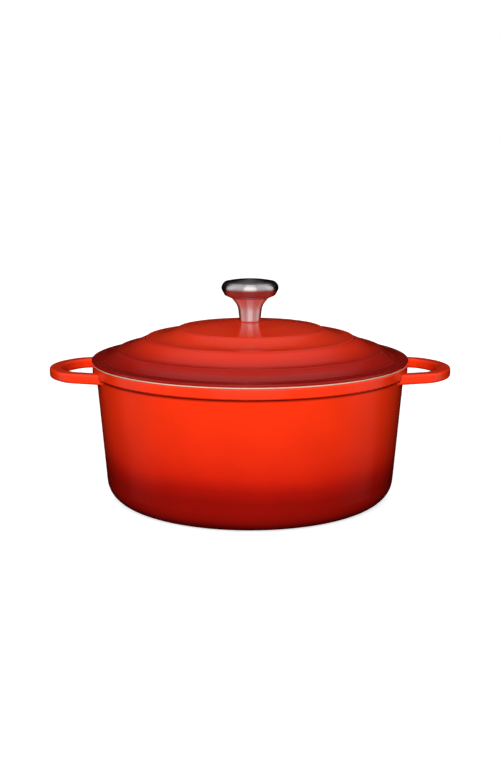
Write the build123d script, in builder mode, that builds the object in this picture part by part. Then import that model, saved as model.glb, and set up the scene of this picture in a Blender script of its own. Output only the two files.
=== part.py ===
from build123d import *

import os
from math import atan, cos, hypot, radians

# Round enamelled cast iron dutch oven: a tapered pot with two loop handles, a stepped lid that
# lifts straight off, and a hollow steel knob held by one screw. All lengths are in millimetres.
# The origin is on the floor at the centre of the base, +Z is up, and the handles lie along X.

os.makedirs("parts", exist_ok=True)

# ---- Driving dimensions -------------------------------------------------------------------

# Layers
coat = 0.4  # each enamel coat
iron_wall = 3.3  # iron of the pot's wall, between its coats
iron_floor = 3.7  # iron of the pot's base

# Pot, over its enamel
rim_height = 120.0  # floor to the bare rim land that carries the lid
collar_radius = 135.5
collar_depth = 8.9
collar_edge = 1.2  # radius of the collar's corners
wall_top_radius = 132.6  # at the underside of the collar
wall_foot_radius = 123.4  # where the wall's line meets the floor
base_corner = 18.3  # radius between the wall and the base
cavity_corner = 22.0  # radius between the inside wall and the inside floor
land_rise = 0.1  # the bare rim land above the enamel beside it
land_inner_margin = 1.6  # enamel between the cavity and the bare land
land_outer_margin = 1.8  # enamel between the land and the collar's face
foot_rise = 0.5  # the base's enamel above the floor
foot_outer_radius = 101.0
foot_inner_radius = 93.0

# Loop handles, over their enamel
handle_reach = 173.2  # axis to the tip of a handle
handle_top_drop = 5.0  # rim land to the handle's top face
handle_thickness = 8.5
handle_bar = 11.0  # width of the bar, seen from above
handle_edge = 2.0  # radius of the bar's long edges
tip_radius = 52.5
tip_turn = 47.0  # degrees of the tip arc on each side of the middle
shoulder_radius = 22.0
shoulder_turn = 26.0
arm_end_x = 113.0  # the arms run on into the solid wall
root_blend = 3.2  # radius where an arm meets the wall

# Lid, heights above its lower edge, over its enamel
lid_radius = 136.0
lid_edge_height = 3.15
lid_edge_round = 1.1
cream_round = 0.5  # radius of the lower edge
cream_edge = 1.0  # height of the inner coat where it wraps the edge
seat_radius = 9.6  # flat under the knob
seat_height = 33.2
# The top outside the seat, as corners (radius, height, rounding): three rings, each a flat shelf
# that ends in a crest with a small step outside it, then a shallow valley and the flat rim
lid_corners = [
    (34.0, 31.9, 120.0),
    (62.0, 28.3, 1.5),
    (62.9, 27.4, 1.2),
    (70.0, 24.6, 60.0),
    (81.5, 21.3, 50.0),
    (89.2, 20.9, 1.8),
    (90.4, 19.6, 1.5),
    (101.0, 14.8, 100.0),
    (108.6, 11.75, 25.0),
    (113.9, 11.0, 3.0),
    (115.6, 9.7, 5.0),
    (121.0, 6.6, 30.0),
    (128.2, 4.05, 6.0),
]
seat_round = 2.0
# The underside between the boss and the rib, in the same way
underside_corners = [
    (60.0, 23.2, 90.0),
    (90.0, 15.2, 90.0),
    (112.0, 6.8, 60.0),
]
rib_root_height = 2.9  # underside where it meets the rib
rib_root_round = 2.0  # inside the rib
rib_round = 1.8  # at the rib's tip
rib_outer_round = 0.8  # between the rib and the flat rim
rib_width = 4.6
rib_depth = 5.0
rib_clearance = 1.5  # rib to the pot's inside wall
bore_radius = 3.3  # clearance hole for the knob's screw

# Knob, heights above the lid's lower edge
knob_top = 69.9
knob_radius_corner = (25.56, 63.17)  # corner of the band, before rounding
knob_shoulder = (21.78, 67.72)
knob_under = (21.75, 55.99)
knob_crease = (15.75, 53.42)  # where the cap meets the stem
knob_waist = (10.49, 46.93)
knob_rounds = [95.0, 3.5, 5.0, 3.6]  # crown, shoulder, band and underside
knob_foot_radius = 9.0
foot_round = 1.6
waist_round = 14.0
stem_edge = 1.6  # thickness of the stem at the crease
stem_inside_round = 8.0
knob_wall = 1.2
insert_radius = 7.4
insert_length = 11.0
thread_radius = 3.0  # M6

# Fasteners under the lid
boss_radius = 13.0
boss_height = 26.8  # underside of the lid's central boss
boss_rise = 2.1  # from the boss up to the lid's underside
boss_run = 3.5
boss_rounds = [1.5, 2.0]
washer_radius = 9.0
washer_thickness = 1.2
washer_bevel = 0.25
spring_radius = 5.6
spring_thickness = 1.6
spring_gap = 1.2
spring_slant = 0.45  # slope of the slit
shank_radius = 2.95
shank_length = 18.5
head_radius = 5.8
head_height = 3.4
head_round = 2.2
tip_bevel = 0.6
recess_width = 1.3
recess_length = 6.4
recess_depth = 1.9

# ---- Worked out from them -----------------------------------------------------------------

enamel_top = rim_height - land_rise
collar_bottom = rim_height - collar_depth
wall_slope = (wall_top_radius - wall_foot_radius) / collar_bottom
wall_tilt = atan(wall_slope)
wall_total = iron_wall + 2 * coat
floor_height = foot_rise + 2 * coat + iron_floor
handle_low = rim_height - handle_top_drop - handle_thickness


def wall_radius(height, inset=0.0):
    """Radius of the pot's wall at a height, set in from the outer enamel."""
    return wall_foot_radius + wall_slope * height - inset / cos(wall_tilt)


land_inner_radius = wall_radius(enamel_top, wall_total) + land_inner_margin
land_outer_radius = collar_radius - land_outer_margin
rib_outer_radius = wall_radius(rim_height - rib_depth, wall_total) - rib_clearance
rib_inner_radius = rib_outer_radius - rib_width

lid_section = Plane(origin=(0, 0, rim_height), x_dir=(1, 0, 0), z_dir=(0, -1, 0))


def level(height):
    """Horizontal plane at a height above the lid's lower edge."""
    return Plane.XY.offset(rim_height + height)


# ---- Pot ----------------------------------------------------------------------------------


def loop_outline(inward):
    """Plan of the D-shaped loop on +X, moved inward from the enamel's outer outline."""
    tip = JernArc((handle_reach - inward, 0), (0, 1), tip_radius - inward, tip_turn)
    shoulder = JernArc(tip @ 1, tip % 1, shoulder_radius - inward, shoulder_turn)
    run = (arm_end_x - (shoulder @ 1).X) / (shoulder % 1).X
    arm = Line(shoulder @ 1, shoulder @ 1 + (shoulder % 1) * run)
    Line(arm @ 1, (arm_end_x, 0))
    mirror(about=Plane.XZ)


def handle_loop(inset):
    """One loop handle with rounded edges, its surface set in from the enamel's."""
    with BuildPart() as loop:
        with BuildSketch(Plane.XY.offset(handle_low + inset)):
            with BuildLine():
                loop_outline(inset)
            make_face()
            with BuildLine():
                loop_outline(handle_bar - inset)
            make_face(mode=Mode.SUBTRACT)
        extrude(amount=handle_thickness - 2 * inset)
        flats = loop.faces().filter_by(Axis.Z)
        rims = flats.edges().filter_by(lambda edge: edge.center().X > arm_end_x + 0.5)
        fillet(rims, radius=handle_edge - inset)
    return loop.part


def is_root(edge, inset):
    """True for an edge where a handle's arm meets the wall."""
    for step in (0.0, 0.5, 1.0):
        point = edge @ step
        if not handle_low - 1 < point.Z < rim_height - handle_top_drop + 1:
            return False
        if abs(hypot(point.X, point.Y) - wall_radius(point.Z, inset)) > 0.05:
            return False
    return True


def pot_form(inset):
    """The pot and handles without the cavity, their surface set in from the enamel's."""
    bottom = foot_rise + inset
    top = enamel_top - inset
    low = collar_bottom + inset
    edge = collar_radius - inset
    loop = handle_loop(inset)
    with BuildPart() as form:
        with BuildSketch(Plane.XZ):
            with BuildLine():
                wall = FilletPolyline(
                    (0, bottom),
                    (wall_radius(bottom, inset), bottom),
                    (wall_radius(top, inset), top),
                    radius=base_corner - inset,
                )
                Polyline(wall @ 1, (0, top), (0, bottom))
            make_face()
        revolve(axis=Axis.Z)
        add(loop)
        add(loop.mirror(Plane.YZ))
        roots = form.edges().filter_by(lambda item: is_root(item, inset))
        fillet(roots, radius=root_blend + inset)
        with BuildSketch(Plane.XZ):
            with BuildLine():
                collar = FilletPolyline(
                    (land_inner_radius, top),
                    (edge, top),
                    (edge, low),
                    (land_inner_radius, low),
                    radius=collar_edge - inset,
                )
                Line(collar @ 1, collar @ 0)
            make_face()
        revolve(axis=Axis.Z)
    return form.part


def cavity(outset, ceiling):
    """The cooking cavity as a solid, grown from the inner enamel's surface."""
    floor = floor_height - outset
    top = enamel_top - outset
    with BuildPart() as space:
        with BuildSketch(Plane.XZ):
            with BuildLine():
                side = FilletPolyline(
                    (0, floor),
                    (wall_radius(floor, wall_total - outset), floor),
                    (wall_radius(top, wall_total - outset), top),
                    (land_inner_radius, top),
                    radius=[cavity_corner + outset, collar_edge - outset],
                )
                Polyline(side @ 1, (land_inner_radius, ceiling), (0, ceiling), (0, floor))
            make_face()
        revolve(axis=Axis.Z)
    return space.part


iron_form = pot_form(coat)
enamel_form = pot_form(0.0)
iron_cavity = cavity(coat, rim_height + 1)
cream_space = cavity(coat, enamel_top)
cooking_space = cavity(0.0, enamel_top + 1)

with BuildPart() as pot_casting:
    add(iron_form)
    with BuildSketch(Plane.XY.offset(collar_bottom)):
        Circle(land_outer_radius)
    extrude(amount=collar_depth)
    with BuildSketch(Plane.XY):
        Circle(foot_outer_radius)
        Circle(foot_inner_radius, mode=Mode.SUBTRACT)
    extrude(amount=foot_rise + coat + iron_floor / 2)
    add(iron_cavity, mode=Mode.SUBTRACT)

with BuildPart() as pot_exterior_enamel:
    add(enamel_form)
    add(iron_form, mode=Mode.SUBTRACT)
    with BuildSketch(Plane.XY.offset(collar_bottom)):
        Circle(land_outer_radius)
    extrude(amount=collar_depth, mode=Mode.SUBTRACT)
    with BuildSketch(Plane.XY):
        Circle(foot_outer_radius)
    extrude(amount=foot_rise + 2 * coat, mode=Mode.SUBTRACT)

with BuildPart() as pot_base_enamel:
    with BuildSketch(Plane.XY.offset(foot_rise)):
        Circle(foot_inner_radius)
    extrude(amount=coat)

with BuildPart() as pot_interior_enamel:
    add(cream_space)
    add(cooking_space, mode=Mode.SUBTRACT)

# ---- Lid ----------------------------------------------------------------------------------


def lid_top(inset):
    """The lid's upper outline from the bore to the cream edge, set in from the enamel's."""
    corners = [(bore_radius, seat_height - inset), (seat_radius, seat_height - inset)]
    corners += [(radius, height - inset) for radius, height, rounding in lid_corners]
    corners.append((lid_radius - inset, lid_edge_height - inset))
    corners.append((lid_radius - inset, cream_edge))
    rounds = [rounding for radius, height, rounding in lid_corners]
    return FilletPolyline(*corners, radius=[seat_round, *rounds, lid_edge_round - inset])


def lid_underside(inset):
    """The lid's lower outline from the bore to the outer edge, set in from the enamel's."""
    boss = boss_height + inset
    tip = inset - rib_depth
    inner = rib_inner_radius + inset
    outer = rib_outer_radius - inset
    corners = [(bore_radius, boss), (boss_radius, boss)]
    corners.append((boss_radius + boss_run, boss + boss_rise))
    corners += [(radius, height + inset) for radius, height, rounding in underside_corners]
    corners += [(inner, rib_root_height + inset), (inner, tip), (outer, tip), (outer, inset)]
    corners += [(lid_radius - inset, inset), (lid_radius - inset, cream_edge)]
    rounds = boss_rounds + [rounding for radius, height, rounding in underside_corners]
    rounds += [rib_root_round + inset, rib_round - inset, rib_round - inset]
    rounds += [rib_outer_round + inset, cream_round - inset]
    return FilletPolyline(*corners, radius=rounds)


with BuildPart() as lid_casting:
    with BuildSketch(lid_section):
        with BuildLine():
            upper = lid_top(coat)
            lower = lid_underside(coat)
            Line(lower @ 0, upper @ 0)
        make_face()
    revolve(axis=Axis.Z)

with BuildPart() as lid_exterior_enamel:
    with BuildSketch(lid_section):
        with BuildLine():
            upper = lid_top(0.0)
            lower = lid_top(coat)
            Line(lower @ 0, upper @ 0)
            Line(lower @ 1, upper @ 1)
        make_face()
    revolve(axis=Axis.Z)

with BuildPart() as lid_interior_enamel:
    with BuildSketch(lid_section):
        with BuildLine():
            upper = lid_underside(coat)
            lower = lid_underside(0.0)
            Line(lower @ 0, upper @ 0)
            Line(lower @ 1, upper @ 1)
        make_face()
    revolve(axis=Axis.Z)

# ---- Knob ---------------------------------------------------------------------------------

with BuildPart() as knob_cap:
    with BuildSketch(lid_section):
        with BuildLine():
            outside = FilletPolyline(
                (0, knob_top),
                (knob_shoulder[0] / 2, knob_top),
                knob_shoulder,
                knob_radius_corner,
                knob_under,
                knob_crease,
                radius=knob_rounds,
            )
            Polyline(outside @ 1, (0, knob_crease[1]), (0, knob_top))
        make_face()
    revolve(axis=Axis.Z)
    opening = knob_cap.faces().sort_by(Axis.Z)[0]
    offset(amount=-knob_wall, openings=opening)

with BuildPart() as knob_stem:
    with BuildSketch(lid_section):
        with BuildLine():
            outside = FilletPolyline(
                (insert_radius, seat_height),
                (knob_foot_radius, seat_height),
                knob_waist,
                knob_crease,
                radius=[foot_round, waist_round],
            )
            inside = FilletPolyline(
                (insert_radius, seat_height),
                (insert_radius, seat_height + insert_length),
                (knob_crease[0] - stem_edge, knob_crease[1]),
                radius=stem_inside_round,
            )
            Line(inside @ 1, outside @ 1)
        make_face()
    revolve(axis=Axis.Z)

with BuildPart() as knob_insert:
    with BuildSketch(level(seat_height)):
        Circle(insert_radius)
        Circle(thread_radius, mode=Mode.SUBTRACT)
    extrude(amount=insert_length)

# ---- Fasteners ----------------------------------------------------------------------------

washer_low = boss_height - washer_thickness
spring_low = washer_low - spring_thickness
head_low = spring_low - head_height

with BuildPart() as flat_washer:
    with BuildSketch(level(washer_low)):
        Circle(washer_radius)
        Circle(bore_radius, mode=Mode.SUBTRACT)
    extrude(amount=washer_thickness)
    rims = flat_washer.edges().filter_by(GeomType.CIRCLE).group_by(SortBy.RADIUS)[-1]
    chamfer(rims, length=washer_bevel)

with BuildPart() as lock_washer:
    with BuildSketch(level(spring_low)):
        Circle(spring_radius)
        Circle(bore_radius, mode=Mode.SUBTRACT)
    extrude(amount=spring_thickness)
    slit = Plane(origin=(spring_radius, 0, rim_height + spring_low), z_dir=(0, 1, spring_slant))
    with BuildSketch(slit):
        Rectangle(2 * spring_radius - 2.0, 4 * spring_thickness)
    extrude(amount=spring_gap / 2, both=True, mode=Mode.SUBTRACT)

with BuildPart() as knob_screw:
    with BuildSketch(level(head_low)):
        Circle(head_radius)
    extrude(amount=head_height)
    face_rim = knob_screw.edges().group_by(Axis.Z)[0]
    fillet(face_rim, radius=head_round)
    with BuildSketch(level(spring_low)):
        Circle(shank_radius)
    extrude(amount=shank_length)
    tip_rim = knob_screw.edges().group_by(Axis.Z)[-1]
    chamfer(tip_rim, length=tip_bevel)
    with BuildSketch(level(head_low)):
        Rectangle(recess_length, recess_width)
        Rectangle(recess_width, recess_length)
    extrude(amount=recess_depth, mode=Mode.SUBTRACT)

# ---- Labels and files ---------------------------------------------------------------------

pot_casting.part.label = "pot_casting"
pot_exterior_enamel.part.label = "pot_exterior_enamel"
pot_base_enamel.part.label = "pot_base_enamel"
pot_interior_enamel.part.label = "pot_interior_enamel"
lid_casting.part.label = "lid_casting"
lid_exterior_enamel.part.label = "lid_exterior_enamel"
lid_interior_enamel.part.label = "lid_interior_enamel"
knob_cap.part.label = "knob_cap"
knob_stem.part.label = "knob_stem"
knob_insert.part.label = "knob_insert"
flat_washer.part.label = "flat_washer"
lock_washer.part.label = "lock_washer"
knob_screw.part.label = "knob_screw"

export_step(pot_casting.part, "parts/pot_casting.step")
export_step(pot_exterior_enamel.part, "parts/pot_exterior_enamel.step")
export_step(pot_base_enamel.part, "parts/pot_base_enamel.step")
export_step(pot_interior_enamel.part, "parts/pot_interior_enamel.step")
export_step(lid_casting.part, "parts/lid_casting.step")
export_step(lid_exterior_enamel.part, "parts/lid_exterior_enamel.step")
export_step(lid_interior_enamel.part, "parts/lid_interior_enamel.step")
export_step(knob_cap.part, "parts/knob_cap.step")
export_step(knob_stem.part, "parts/knob_stem.step")
export_step(knob_insert.part, "parts/knob_insert.step")
export_step(flat_washer.part, "parts/flat_washer.step")
export_step(lock_washer.part, "parts/lock_washer.step")
export_step(knob_screw.part, "parts/knob_screw.step")
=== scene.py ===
"""Looks for the enamelled cast iron dutch oven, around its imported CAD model."""

import math

import bpy
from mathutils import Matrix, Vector


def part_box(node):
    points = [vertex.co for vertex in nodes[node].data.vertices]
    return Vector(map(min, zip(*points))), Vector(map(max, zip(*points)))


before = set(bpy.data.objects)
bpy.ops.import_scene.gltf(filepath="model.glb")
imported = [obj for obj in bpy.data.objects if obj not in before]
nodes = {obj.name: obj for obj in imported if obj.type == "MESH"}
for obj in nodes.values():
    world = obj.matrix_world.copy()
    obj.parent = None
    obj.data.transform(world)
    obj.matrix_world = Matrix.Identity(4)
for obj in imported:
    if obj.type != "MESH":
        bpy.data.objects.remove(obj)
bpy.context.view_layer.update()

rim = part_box("pot_casting")[1].z  # the rim land that carries the lid
lid_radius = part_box("lid_exterior_enamel")[1].x
knob_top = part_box("knob_cap")[1].z

# ---- Camera -------------------------------------------------------------------------------

CAMERA_DISTANCE = 1.038
CAMERA_ELEVATION = math.radians(11.84)
AIM_ABOVE_TARGET = math.radians(1.262)
TARGET_BELOW_RIM = 0.0415
LENS_MM = 56.3


def make_camera():
    """Looks along +Y, a little downwards, at a point inside the pot."""
    target = Vector((0, 0, rim - TARGET_BELOW_RIM))
    back = Vector((0, -math.cos(CAMERA_ELEVATION), math.sin(CAMERA_ELEVATION)))
    data = bpy.data.cameras.new("camera")
    data.sensor_width = 36.0
    data.lens = LENS_MM
    data.clip_start = 0.01
    data.clip_end = 60.0
    camera = bpy.data.objects.new("camera", data)
    bpy.context.scene.collection.objects.link(camera)
    camera.location = target + back * CAMERA_DISTANCE
    camera.rotation_euler = (math.pi / 2 - CAMERA_ELEVATION + AIM_ABOVE_TARGET, 0, 0)
    bpy.context.scene.camera = camera


# ---- Node helpers -------------------------------------------------------------------------


class Nodes:
    """Short calls for one material's node tree."""

    def __init__(self, tree):
        self.tree = tree
        tree.nodes.clear()

    def add(self, kind, settings=None, **inputs):
        """A node with its properties set and its inputs set or linked, by name."""
        node = self.tree.nodes.new(kind)
        for key, value in (settings or {}).items():
            setattr(node, key, value)
        for key, value in inputs.items():
            self.put(node, key, value)
        return node

    def put(self, node, key, value):
        """Sets or links one input, named or numbered (i0, i1, ...)."""
        if key[0] == "i" and key[1:].isdigit():
            socket = node.inputs[int(key[1:])]
        else:
            socket = node.inputs[key.replace("_", " ")]
        if isinstance(value, bpy.types.NodeSocket):
            self.tree.links.new(value, socket)
        else:
            socket.default_value = value

    def math(self, operation, a, b=0.0, clamp=False):
        node = self.add("ShaderNodeMath", {"operation": operation, "use_clamp": clamp}, i0=a, i1=b)
        return node.outputs[0]

    def place(self):
        """Object coordinates, which are the frame's, in metres."""
        return self.add("ShaderNodeTexCoord").outputs["Object"]

    def split(self, vector):
        return self.add("ShaderNodeSeparateXYZ", i0=vector).outputs

    def radius(self, x, y):
        """Distance from the vertical axis."""
        squares = self.math("ADD", self.math("MULTIPLY", x, x), self.math("MULTIPLY", y, y))
        return self.math("SQRT", squares)

    def noise(self, vector, scale, detail=2.0, roughness=0.5):
        node = self.add("ShaderNodeTexNoise", Vector=vector, Scale=scale, Detail=detail, Roughness=roughness)
        return node.outputs["Fac"]

    def ramp(self, factor, stops, mode="LINEAR"):
        """Colour ramp from (position, (r, g, b)) stops."""
        node = self.add("ShaderNodeValToRGB", i0=factor)
        ramp = node.color_ramp
        ramp.interpolation = mode
        while len(ramp.elements) < len(stops):
            ramp.elements.new(1.0)
        for element, (position, colour) in zip(ramp.elements, stops):
            element.position = position
            element.color = (*colour, 1.0)
        return node.outputs["Color"]

    def span(self, value, low, high, to_low=0.0, to_high=1.0):
        """Maps value from low..high to to_low..to_high, held at both ends."""
        node = self.add("ShaderNodeMapRange", {"clamp": True}, Value=value)
        for index, number in enumerate((low, high, to_low, to_high)):
            node.inputs[index + 1].default_value = number
        return node.outputs[0]

    def mix(self, factor, a, b, blend="MIX"):
        node = self.add("ShaderNodeMix", {"data_type": "RGBA", "blend_type": blend})
        for index, value in ((0, factor), (6, a), (7, b)):
            if isinstance(value, bpy.types.NodeSocket):
                self.tree.links.new(value, node.inputs[index])
            elif index == 0:
                node.inputs[index].default_value = value
            else:
                node.inputs[index].default_value = (*value, 1.0)
        return node.outputs[2]

    def bump(self, height, strength, distance, normal=None):
        node = self.add("ShaderNodeBump", Strength=strength, Distance=distance, Height=height)
        if normal is not None:
            self.put(node, "Normal", normal)
        return node.outputs["Normal"]

    def surface(self, **inputs):
        """The Principled shader, wired to the output."""
        shader = self.add("ShaderNodeBsdfPrincipled", None, **inputs)
        output = self.add("ShaderNodeOutputMaterial")
        self.tree.links.new(shader.outputs[0], output.inputs["Surface"])
        return shader


def new_material(name):
    material = bpy.data.materials.new(name)
    material.use_nodes = True
    return material, Nodes(material.node_tree)


def dress(material, *names):
    """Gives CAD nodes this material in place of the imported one."""
    for name in names:
        mesh = nodes[name].data
        mesh.materials.clear()
        mesh.materials.append(material)


# ---- Enamel -------------------------------------------------------------------------------

ORANGE = (0.93, 0.036, 0.0055)
# Painted shade: a thin dark line drawn at each step of the lid: radius, half width, colour
LID_STEP_SHADE_LINES = [
    (0.0624, 0.0008, (0.66, 0.032, 0.014)),
    (0.0898, 0.0009, (0.58, 0.028, 0.014)),
    (0.1147, 0.0011, (0.40, 0.016, 0.010)),
]
# Painted shade: dark colour in the corner under the pot's collar
COLLAR_DEPTH = 0.0089  # the corner, below the rim
COLLAR_SHADE = 0.0030  # how far the dark runs down the wall
COLLAR_FADE = 0.0003
COLLAR_REACH = 0.1335  # radius, just outside the wall
COLLAR_REACH_FADE = 0.0010
# colour of the painted shade under the collar
COLLAR_SHADE_COLOUR = (0.20, 0.004, 0.0015)


def glaze(n, place, base, roughness_low, roughness_high):
    """Glossy fired enamel over a base colour: faint mottling, pinholes and orange peel."""
    mottle = n.span(n.noise(place, 38.0, 4.0), 0.3, 0.7, 0.965, 1.03)
    shaded = n.add("ShaderNodeVectorMath", {"operation": "SCALE"}, i0=base, Scale=mottle).outputs[0]
    wear = n.noise(place, 90.0, 5.0, 0.6)
    roughness = n.span(wear, 0.35, 0.7, roughness_low, roughness_high)
    peel = n.noise(place, 260.0, 2.0)
    waves = n.noise(place, 24.0, 1.0)
    wavy = n.bump(waves, 0.35, 0.0006)
    normal = n.bump(peel, 0.10, 0.00012, wavy)
    return shaded, roughness, normal


def make_pot_enamel():
    """Orange above, darkening through cherry to the foot, with painted shade under the collar."""
    material, n = new_material("pot_enamel")
    place = n.place()
    x, y, z = n.split(place)
    drift = n.span(n.noise(place, 9.0, 2.0), 0.2, 0.8, -0.004, 0.004)
    height = n.math("ADD", z, drift)
    level = n.span(height, 0.0, rim)
    base = n.ramp(level, [
        (0.00, (0.09, 0.0014, 0.001)),
        (0.08, (0.25, 0.0042, 0.0022)),
        (0.22, (0.27, 0.0045, 0.0023)),
        (0.30, (0.38, 0.0066, 0.0027)),
        (0.40, (0.62, 0.0150, 0.0038)),
        (0.52, (0.74, 0.0235, 0.0048)),
        (0.72, (0.86, 0.0310, 0.0053)),
        (1.00, ORANGE),
    ])
    # painted shade: darkens the wall just under the collar
    corner = rim - COLLAR_DEPTH
    radius = n.radius(x, y)
    under = n.span(z, corner - COLLAR_SHADE, corner - 0.3 * COLLAR_SHADE)
    below = n.span(z, corner + COLLAR_FADE, corner)
    near = n.span(radius, COLLAR_REACH + COLLAR_REACH_FADE, COLLAR_REACH)
    painted_collar_shade = n.math("MULTIPLY", n.math("MULTIPLY", under, below), near)
    base = n.mix(painted_collar_shade, base, COLLAR_SHADE_COLOUR)
    colour, roughness, normal = glaze(n, place, base, 0.05, 0.13)
    n.surface(Base_Color=colour, Roughness=roughness, Normal=normal, IOR=1.5)
    dress(material, "pot_exterior_enamel", "pot_base_enamel")


def make_lid_enamel():
    """Orange at the crown, cherry towards the rim, with painted shade lines at the steps."""
    material, n = new_material("lid_enamel")
    place = n.place()
    x, y, _ = n.split(place)
    radius = n.radius(x, y)
    drift = n.span(n.noise(place, 9.0, 2.0), 0.2, 0.8, -0.003, 0.003)
    level = n.span(n.math("ADD", radius, drift), 0.0, lid_radius)
    base = n.ramp(level, [
        (0.00, ORANGE),
        (0.55, (0.90, 0.035, 0.0055)),
        (0.70, (0.82, 0.026, 0.0045)),
        (0.84, (0.46, 0.0095, 0.003)),
        (0.93, (0.35, 0.006, 0.0024)),
        (1.00, (0.30, 0.005, 0.0022)),
    ])
    wander = n.math("MULTIPLY", n.math("SUBTRACT", n.noise(place, 60.0, 2.0), 0.5), 0.0008)
    along = n.math("ADD", radius, wander)
    # painted shade: darkens a thin ring at each step of the lid
    for edge, half_width, step_shade in LID_STEP_SHADE_LINES:
        offset = n.math("ABSOLUTE", n.math("SUBTRACT", along, edge))
        base = n.mix(n.span(offset, half_width, 0.4 * half_width), base, step_shade)
    colour, roughness, normal = glaze(n, place, base, 0.10, 0.18)
    n.surface(Base_Color=colour, Roughness=roughness, Normal=normal, IOR=1.5, Specular_IOR_Level=0.28)
    dress(material, "lid_exterior_enamel")


def make_cream_enamel():
    """Cream with fine brown specks."""
    material, n = new_material("cream_enamel")
    place = n.place()
    speck = n.span(n.noise(place, 900.0, 1.0), 0.70, 0.76)
    base = n.mix(speck, (0.72, 0.62, 0.46), (0.42, 0.33, 0.22))
    colour, roughness, normal = glaze(n, place, base, 0.08, 0.2)
    n.surface(Base_Color=colour, Roughness=roughness, Normal=normal, IOR=1.5)
    dress(material, "pot_interior_enamel", "lid_interior_enamel")


# ---- Iron and steel -----------------------------------------------------------------------

CAP_TINT = (0.86, 0.81, 0.83)
CROWN_PAINTED_DARK = (0.42, 0.38, 0.43)  # painted dark reflection, above and below the cap's satin band
STEM_TINT = (0.94, 0.89, 0.91)
FASTENER_TINT = (0.55, 0.545, 0.53)
BAND_TOP = 0.0024  # both below the knob's top
BAND_FOOT = 0.0082
BAND_SATIN = 0.04  # added to the roughness inside the band
BAND_FADE = 0.0008


def make_iron():
    """Bare iron: cast grain, ground in circles where it is flat."""
    material, n = new_material("bare_iron")
    place = n.place()
    x, y, _ = n.split(place)
    radius = n.radius(x, y)
    grain = n.noise(place, 420.0, 5.0, 0.65)
    rings = n.add("ShaderNodeCombineXYZ", X=radius).outputs[0]
    grinding = n.noise(rings, 2600.0, 3.0, 0.7)
    base = n.mix(n.span(grain, 0.3, 0.7), (0.030, 0.028, 0.027), (0.085, 0.080, 0.076))
    roughness = n.span(grain, 0.3, 0.7, 0.42, 0.62)
    cast = n.bump(grain, 0.4, 0.0002)
    normal = n.bump(grinding, 0.25, 0.00006, cast)
    n.surface(Base_Color=base, Metallic=0.85, Roughness=roughness, Normal=normal)
    dress(material, "pot_casting", "lid_casting")


def make_steel(name, tint, roughness_low, roughness_high, members, band=None):
    """Lathe-turned steel: fine rings round the vertical axis; if given, a satin band, with the steel above
    and below it coloured darker as a painted dark reflection.
    """
    material, n = new_material(name)
    place = n.place()
    x, y, z = n.split(place)
    radius = n.radius(x, y)
    turned = n.add("ShaderNodeCombineXYZ", X=radius, Y=z).outputs[0]
    lines = n.noise(turned, 5200.0, 3.0, 0.7)
    smear = n.noise(place, 120.0, 3.0)
    roughness = n.span(smear, 0.3, 0.7, roughness_low, roughness_high)
    shade = n.mix(n.span(lines, 0.25, 0.75), tint, [0.93 * part for part in tint])
    if band:
        low, high, satin, painted_dark = band
        below_top = n.span(z, high, high - BAND_FADE)
        above_foot = n.span(z, low - BAND_FADE, low)
        inside = n.math("MULTIPLY", below_top, above_foot)
        roughness = n.math("ADD", roughness, n.math("MULTIPLY", inside, satin))
        # painted reflection: the steel outside the band takes the darker colour
        shade = n.mix(inside, painted_dark, shade)
    normal = n.bump(lines, 0.10, 0.00003)
    tangent = n.add("ShaderNodeTangent", {"direction_type": "RADIAL", "axis": "Z"}).outputs[0]
    n.surface(
        Base_Color=shade, Metallic=1.0, Roughness=roughness, Normal=normal,
        Anisotropic=1.0, Anisotropic_Rotation=0.25, Tangent=tangent,
    )
    dress(material, *members)


# ---- Studio -------------------------------------------------------------------------------

FLOOR_HALF = 40.0
FLOOR_GLOW = 0.60  # keeps the floor pale; it sends no light to the pot
FILL = 0.05
ROOM_LOW = 0.002  # the room between the panels, at the horizon and high up
ROOM_HIGH = 0.025
# name, azimuth, elevation, spread, strength
SUNS = [
    ("key", -2, 20, 40, 4.1),
    ("left", -100, 8, 50, 0.25),
    ("right", 100, 8, 50, 0.15),
    ("back", 180, 8, 60, 3.0),
]
# azimuth, elevation, half width, half height, softness, strength
PANELS = [
    (0, 32, 108, 40, 5, 0.58),
    (0, 31, 26, 41, 5, 0.72),
    (-91, 16, 17, 34, 7, 0.19),
    (91, 16, 17, 34, 7, 0.15),
    (180, 58, 36, 15, 12, 0.55),
]


def make_floor():
    """Pale seamless floor."""
    material, n = new_material("studio_floor")
    place = n.place()
    shade = n.mix(n.noise(place, 3.0, 2.0), (0.89, 0.89, 0.89), (0.91, 0.91, 0.91))
    n.surface(
        Base_Color=shade, Roughness=0.9, Specular_IOR_Level=0.0,
        Emission_Color=(1.0, 1.0, 1.0, 1.0), Emission_Strength=FLOOR_GLOW,
    )
    half = FLOOR_HALF
    mesh = bpy.data.meshes.new("floor")
    corners = [(-half, -half, 0), (half, -half, 0), (half, half, 0), (-half, half, 0)]
    mesh.from_pydata(corners, [], [(0, 1, 2, 3)])
    mesh.materials.append(material)
    floor = bpy.data.objects.new("floor", mesh)
    bpy.context.scene.collection.objects.link(floor)
    floor.visible_glossy = False
    floor.visible_diffuse = False


def panel(n, direction, azimuth, elevation, across, up, soft):
    """A soft-edged light panel seen in reflections: 1 inside, 0 outside, in degrees."""
    x, y, z = n.split(direction)
    bearing = n.math("ARCTAN2", n.math("MULTIPLY", x, -1.0), n.math("MULTIPLY", y, -1.0))
    turn = n.math("ABSOLUTE", n.math("SUBTRACT", bearing, math.radians(azimuth)))
    turn = n.math("MINIMUM", turn, n.math("SUBTRACT", 2 * math.pi, turn))
    height = n.math("SUBTRACT", n.math("ARCSINE", z), math.radians(elevation))
    edge = math.radians(soft)
    wide = n.span(turn, math.radians(across) + edge, math.radians(across) - edge)
    tall = n.span(n.math("ABSOLUTE", height), math.radians(up) + edge, math.radians(up) - edge)
    return n.math("MULTIPLY", wide, tall)


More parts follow.
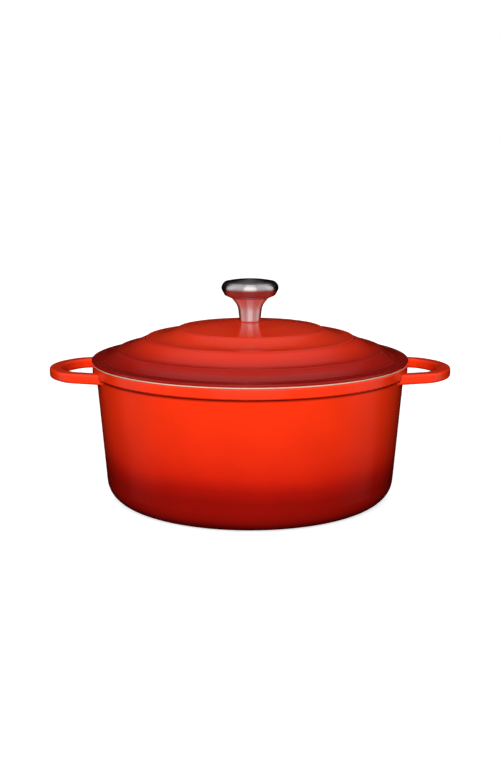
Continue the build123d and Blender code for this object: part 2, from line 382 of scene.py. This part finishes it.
def make_world():
    """White to the camera; soft panels in a dim room in reflections; dim fill."""
    world = bpy.data.worlds.new("studio")
    bpy.context.scene.world = world
    world.use_nodes = True
    n = Nodes(world.node_tree)
    direction = n.add("ShaderNodeTexCoord").outputs["Generated"]
    z = n.split(direction)[2]
    path = n.add("ShaderNodeLightPath").outputs
    studio = n.span(z, 0.0, 0.8, ROOM_LOW, ROOM_HIGH)
    for azimuth, elevation, across, up, soft, strength in PANELS:
        glow = n.math("MULTIPLY", panel(n, direction, azimuth, elevation, across, up, soft), strength)
        studio = n.math("ADD", studio, glow)
    room = n.add("ShaderNodeBackground", Color=(1.0, 0.98, 0.96, 1.0), Strength=studio)
    dim = n.span(z, -0.1, 0.1, 0.3 * FILL, FILL)
    fill = n.add("ShaderNodeBackground", Color=(1.0, 0.99, 0.98, 1.0), Strength=dim)
    white = n.add("ShaderNodeBackground", Color=(1.0, 1.0, 1.0, 1.0), Strength=1.0)
    unseen = n.add(
        "ShaderNodeMixShader", None,
        i0=path["Is Glossy Ray"], i1=fill.outputs[0], i2=room.outputs[0],
    )
    sky = n.add(
        "ShaderNodeMixShader", None,
        i0=path["Is Camera Ray"], i1=unseen.outputs[0], i2=white.outputs[0],
    )
    output = n.add("ShaderNodeOutputWorld")
    n.tree.links.new(sky.outputs[0], output.inputs["Surface"])


def make_sun(name, azimuth, elevation, spread, strength):
    """A soft light from far away; azimuth 0 is from the camera's side, all in degrees."""
    data = bpy.data.lights.new(name, "SUN")
    data.energy = strength
    data.angle = math.radians(spread)
    light = bpy.data.objects.new(name, data)
    bpy.context.scene.collection.objects.link(light)
    turn = math.radians(azimuth)
    rise = math.radians(elevation)
    toward = Vector((math.sin(turn) * math.cos(rise), -math.cos(turn) * math.cos(rise), math.sin(rise)))
    light.rotation_euler = toward.to_track_quat("Z", "Y").to_euler()
    light.visible_glossy = False


def make_lights():
    for light in SUNS:
        make_sun(*light)


make_camera()
make_pot_enamel()
make_lid_enamel()
make_cream_enamel()
make_iron()
make_steel(
    "knob_cap_steel", CAP_TINT, 0.19, 0.24, ["knob_cap"],
    band=(knob_top - BAND_FOOT, knob_top - BAND_TOP, BAND_SATIN, CROWN_PAINTED_DARK),
)
make_steel("knob_stem_steel", STEM_TINT, 0.34, 0.40, ["knob_stem"])
make_steel(
    "fastener_steel", FASTENER_TINT, 0.22, 0.36,
    ["knob_insert", "knob_screw", "flat_washer", "lock_washer"],
)
make_floor()
make_world()
make_lights()

bpy.context.scene.view_settings.view_transform = "Standard"
